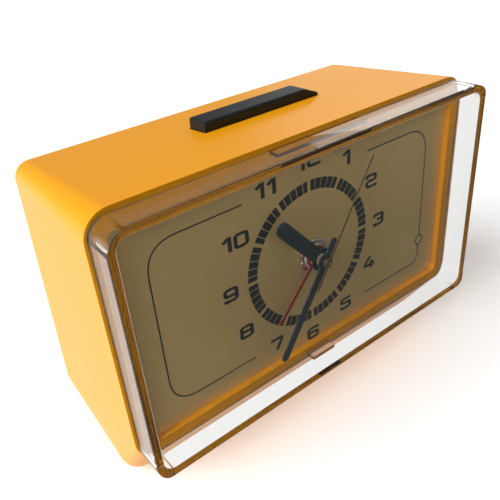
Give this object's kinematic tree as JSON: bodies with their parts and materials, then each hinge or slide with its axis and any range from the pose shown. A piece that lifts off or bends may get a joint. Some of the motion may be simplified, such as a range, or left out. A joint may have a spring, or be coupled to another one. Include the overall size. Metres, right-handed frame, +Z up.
{
  "type": "desk alarm clock",
  "caption": "Battery desk alarm clock: moulded case with a box-shaped clear lens, four hands on a numbered dial, a stop bar on top, rear setting knobs and a battery door.",
  "frame": {"origin": "on the table, under the middle of the clock's overall box", "axes": "+X to the right as seen from the front, the dial faces -Y and leans back, +Z up"},
  "size_m": [0.13, 0.0703, 0.0966],
  "materials": {
    "orange_case": "satin moulded",
    "clear_acrylic": "polished clear",
    "champagne_dial": "fine satin champagne",
    "steel": "nickel plated",
    "fibre": "matte",
    "black_plastic": "fine grain",
    "foot_rubber": "matte",
    "bar_plastic": "pebbled top",
    "brass": "stamped",
    "movement_plastic": "moulded",
    "bright_nut": "bright",
    "core_iron": "laminated",
    "copper_wire": "enamelled winding",
    "magnet": "sintered",
    "gear_plastic": "moulded acetal",
    "board_green": "solder mask",
    "cell_jacket": "plain jacket",
    "hand_paint": "dark blue-grey paint",
    "second_paint": "dark paint",
    "alarm_paint": "red-brown paint",
    "dial_ink": "printed ink"
  },
  "bodies": {
    "clock_body": {"case_shell": "orange_case", "lens": "clear_acrylic", "dial_plate": "champagne_dial", "dial_clips": "steel", "dial_washer": "fibre", "rear_cover": "black_plastic", "cover_screws": "steel", "feet": "foot_rubber", "bar_guide": "black_plastic", "guide_screws": "steel", "bar_springs": "steel", "stop_contact": "brass", "movement_front": "movement_plastic", "movement_back": "movement_plastic", "movement_screws": "steel", "centre_nut": "bright_nut", "train_bridge": "brass", "train_screws": "steel", "stator": "core_iron", "coil_core": "core_iron", "coil_bobbin": "movement_plastic", "coil_winding": "copper_wire", "circuit_board": "board_green", "clock_chip": "black_plastic", "quartz_crystal": "steel", "alarm_contact": "brass", "buzzer_case": "black_plastic", "buzzer_cap": "brass", "battery_cell": "cell_jacket", "battery_spring": "steel", "battery_contact": "steel"},
    "second_hand_body": {"second_hand": "second_paint", "second_arbor": "steel", "second_wheel": "gear_plastic"},
    "minute_hand_body": {"minute_hand": "hand_paint", "cannon_pinion": "brass", "centre_wheel": "brass"},
    "hour_hand_body": {"hour_hand": "hand_paint", "hour_wheel": "gear_plastic"},
    "alarm_hand_body": {"alarm_hand": "alarm_paint", "alarm_wheel": "gear_plastic"},
    "third_body": {"third_pinion": "gear_plastic", "third_wheel": "gear_plastic"},
    "intermediate_body": {"intermediate_pinion": "gear_plastic", "intermediate_wheel": "gear_plastic"},
    "rotor_body": {"rotor_magnet": "magnet", "rotor_pinion": "steel"},
    "time_knob_body": {"motion_arbor": "steel", "motion_wheel": "gear_plastic", "time_knob": "black_plastic"},
    "alarm_knob_body": {"alarm_arbor": "steel", "alarm_knob": "black_plastic"},
    "stop_bar_body": {"stop_bar": "bar_plastic"},
    "battery_door_body": {"battery_door": "black_plastic"}
  },
  "joints": [
    {"name": "second_hand_turn", "type": "hinge", "parent": "clock_body", "child": "second_hand_body", "pos_m": [0, -0.01879, 0.0586], "axis": [0, 0.9925, -0.1219], "continuous": true},
    {"name": "minute_hand_turn", "type": "hinge", "parent": "clock_body", "child": "minute_hand_body", "pos_m": [0, -0.01879, 0.0586], "axis": [0, 0.9925, -0.1219], "continuous": true},
    {"name": "hour_hand_turn", "type": "hinge", "parent": "clock_body", "child": "hour_hand_body", "pos_m": [0, -0.01879, 0.0586], "axis": [0, 0.9925, -0.1219], "continuous": true},
    {"name": "third_wheel_turn", "type": "hinge", "parent": "clock_body", "child": "third_body", "pos_m": [0, -0.01724, 0.07125], "axis": [0, 0.9925, -0.1219], "continuous": true},
    {"name": "intermediate_turn", "type": "hinge", "parent": "clock_body", "child": "intermediate_body", "pos_m": [0, -0.01989, 0.04967], "axis": [0, 0.9925, -0.1219], "continuous": true},
    {"name": "rotor_turn", "type": "hinge", "parent": "clock_body", "child": "rotor_body", "pos_m": [0.00758, -0.02042, 0.04532], "axis": [0, 0.9925, -0.1219], "continuous": true},
    {"name": "time_knob_turn", "type": "hinge", "parent": "clock_body", "child": "time_knob_body", "pos_m": [-0.014, -0.01879, 0.0586], "axis": [0, 0.9925, -0.1219], "continuous": true},
    {"name": "alarm_knob_turn", "type": "hinge", "parent": "clock_body", "child": "alarm_knob_body", "pos_m": [0.014, -0.01879, 0.0586], "axis": [0, 0.9925, -0.1219], "continuous": true},
    {"name": "alarm_hand_turn", "type": "hinge", "parent": "clock_body", "child": "alarm_hand_body", "pos_m": [0, -0.01879, 0.0586], "axis": [0, 0.9925, -0.1219], "continuous": true},
    {"name": "stop_bar_press", "type": "slide", "parent": "clock_body", "child": "stop_bar_body", "axis": [0, -0.1219, -0.9925], "range_m": [0, 0.0022], "stiffness_N_per_m": 450, "springref_m": -0.001, "deforming": ["bar_springs"]},
    {"name": "battery_door_swing", "type": "hinge", "parent": "clock_body", "child": "battery_door_body", "pos_m": [0, 0.03341, 0.0125], "axis": [-1, 0, 0], "range_deg": [0, 90]}
  ],
  "couplings": [
    {"joint": "third_wheel_turn", "follows": "second_hand_turn", "ratio": -0.13333},
    {"joint": "minute_hand_turn", "follows": "second_hand_turn", "ratio": 0.016667},
    {"joint": "time_knob_turn", "follows": "second_hand_turn", "ratio": -0.0055556},
    {"joint": "hour_hand_turn", "follows": "second_hand_turn", "ratio": 0.0013889},
    {"joint": "intermediate_turn", "follows": "second_hand_turn", "ratio": -5},
    {"joint": "rotor_turn", "follows": "second_hand_turn", "ratio": 30},
    {"joint": "alarm_hand_turn", "follows": "alarm_knob_turn", "ratio": -0.25}
  ]
}
